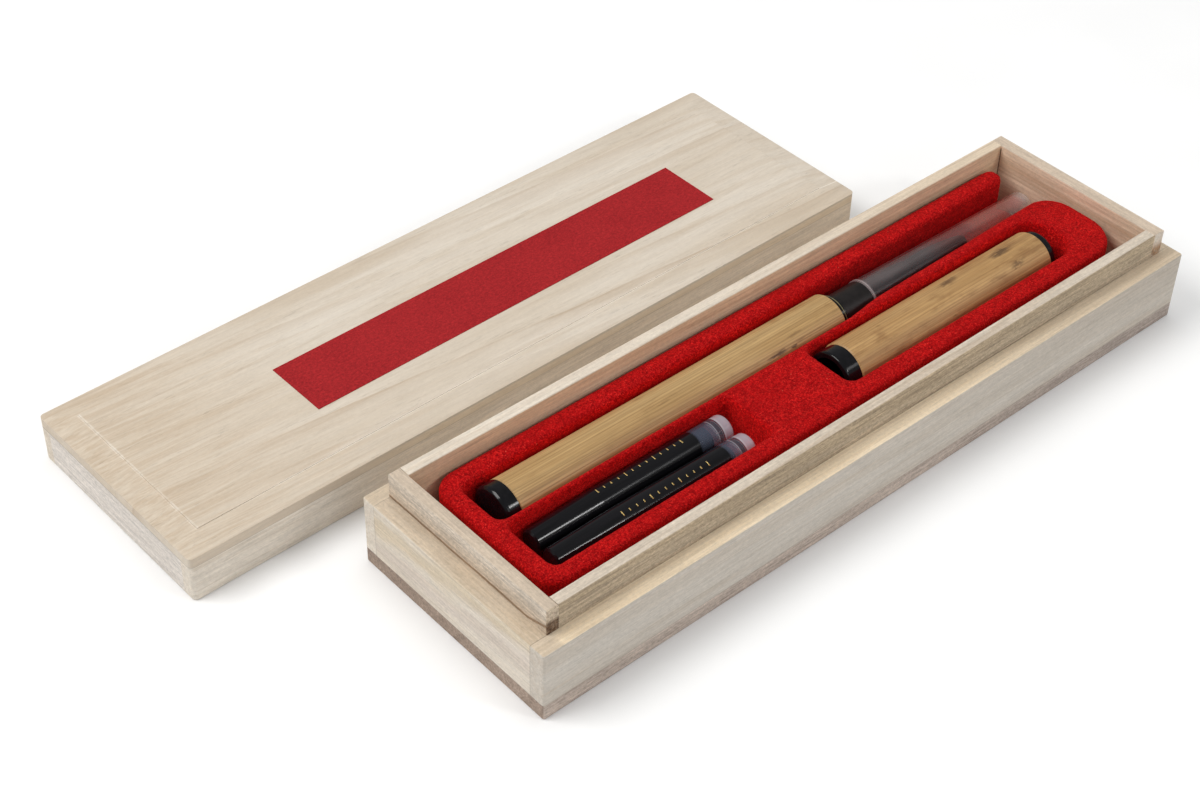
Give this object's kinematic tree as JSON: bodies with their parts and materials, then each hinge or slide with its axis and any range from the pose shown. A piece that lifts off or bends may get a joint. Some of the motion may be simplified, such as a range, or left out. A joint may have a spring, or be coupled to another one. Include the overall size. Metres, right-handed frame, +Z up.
{
  "type": "brush pen box",
  "caption": "Open paulownia wood box with a flocked tray holding a bamboo brush pen under a clear brush guard, its bamboo cap and spare ink cartridges; the lid lies beside it.",
  "frame": {"origin": "centre of the base's underside, on the table", "axes": "+X along the box towards the brush tip, +Y across the box towards the lid lying beside it, +Z up"},
  "size_m": [0.2355, 0.1329, 0.0254],
  "materials": {
    "paulownia": "matte",
    "dark_board": "matte",
    "label_paper": "matte",
    "red_flock": "matte",
    "bamboo": "satin",
    "black_plastic": "gloss",
    "clear_plastic": "gloss",
    "brush_hair": "satin",
    "ink": "gloss"
  },
  "bodies": {
    "base": {"base_bottom": "dark_board", "base_front_wall": "paulownia", "base_back_wall": "paulownia", "base_left_end": "paulownia", "base_right_end": "paulownia", "liner_front": "paulownia", "liner_back": "paulownia", "liner_left": "paulownia", "liner_right": "paulownia"},
    "lid": {"lid_top": "paulownia", "lid_front_wall": "paulownia", "lid_back_wall": "paulownia", "lid_left_end": "paulownia", "lid_right_end": "paulownia", "lid_label": "label_paper"},
    "tray": {"tray": "red_flock"},
    "pen": {"pen_barrel": "bamboo", "pen_tail_plug": "black_plastic", "pen_barrel_bush": "black_plastic"},
    "section": {"pen_section": "black_plastic", "pen_ink_feed": "black_plastic", "brush_holder": "black_plastic", "brush_bristles": "brush_hair"},
    "guard": {"clear_brush_guard": "clear_plastic"},
    "cap": {"cap_tube": "bamboo", "cap_mouth_ring": "black_plastic", "cap_end_plug": "black_plastic"},
    "cartridge_1": {"cartridge_1_shell": "clear_plastic", "cartridge_1_ink": "ink", "cartridge_1_seal": "black_plastic"},
    "cartridge_2": {"cartridge_2_shell": "clear_plastic", "cartridge_2_ink": "ink", "cartridge_2_seal": "black_plastic"}
  },
  "joints": [
    {"name": "lid_carry", "type": "slide", "parent": "base", "child": "lid", "axis": [0.2475, -0.5025, 0.8284], "range_m": [0, 0.14486]},
    {"name": "tray_lift", "type": "slide", "parent": "base", "child": "tray", "axis": [0, 0, 1], "range_m": [0, 0.035]},
    {"name": "pen_lift", "type": "slide", "parent": "tray", "child": "pen", "axis": [0, 0, 1], "range_m": [0, 0.03]},
    {"name": "section_unscrew", "type": "hinge", "parent": "pen", "child": "section", "pos_m": [0.0211, 0.01015, 0.016], "axis": [1, 0, 0], "range_deg": [0, 1080]},
    {"name": "guard_pull", "type": "slide", "parent": "section", "child": "guard", "axis": [1, 0, 0], "range_m": [0, 0.004]},
    {"name": "cap_lift", "type": "slide", "parent": "tray", "child": "cap", "axis": [0, 0, 1], "range_m": [0, 0.03]},
    {"name": "cartridge_1_lift", "type": "slide", "parent": "tray", "child": "cartridge_1", "axis": [0, 0, 1], "range_m": [0, 0.03]},
    {"name": "cartridge_2_lift", "type": "slide", "parent": "tray", "child": "cartridge_2", "axis": [0, 0, 1], "range_m": [0, 0.03]}
  ]
}
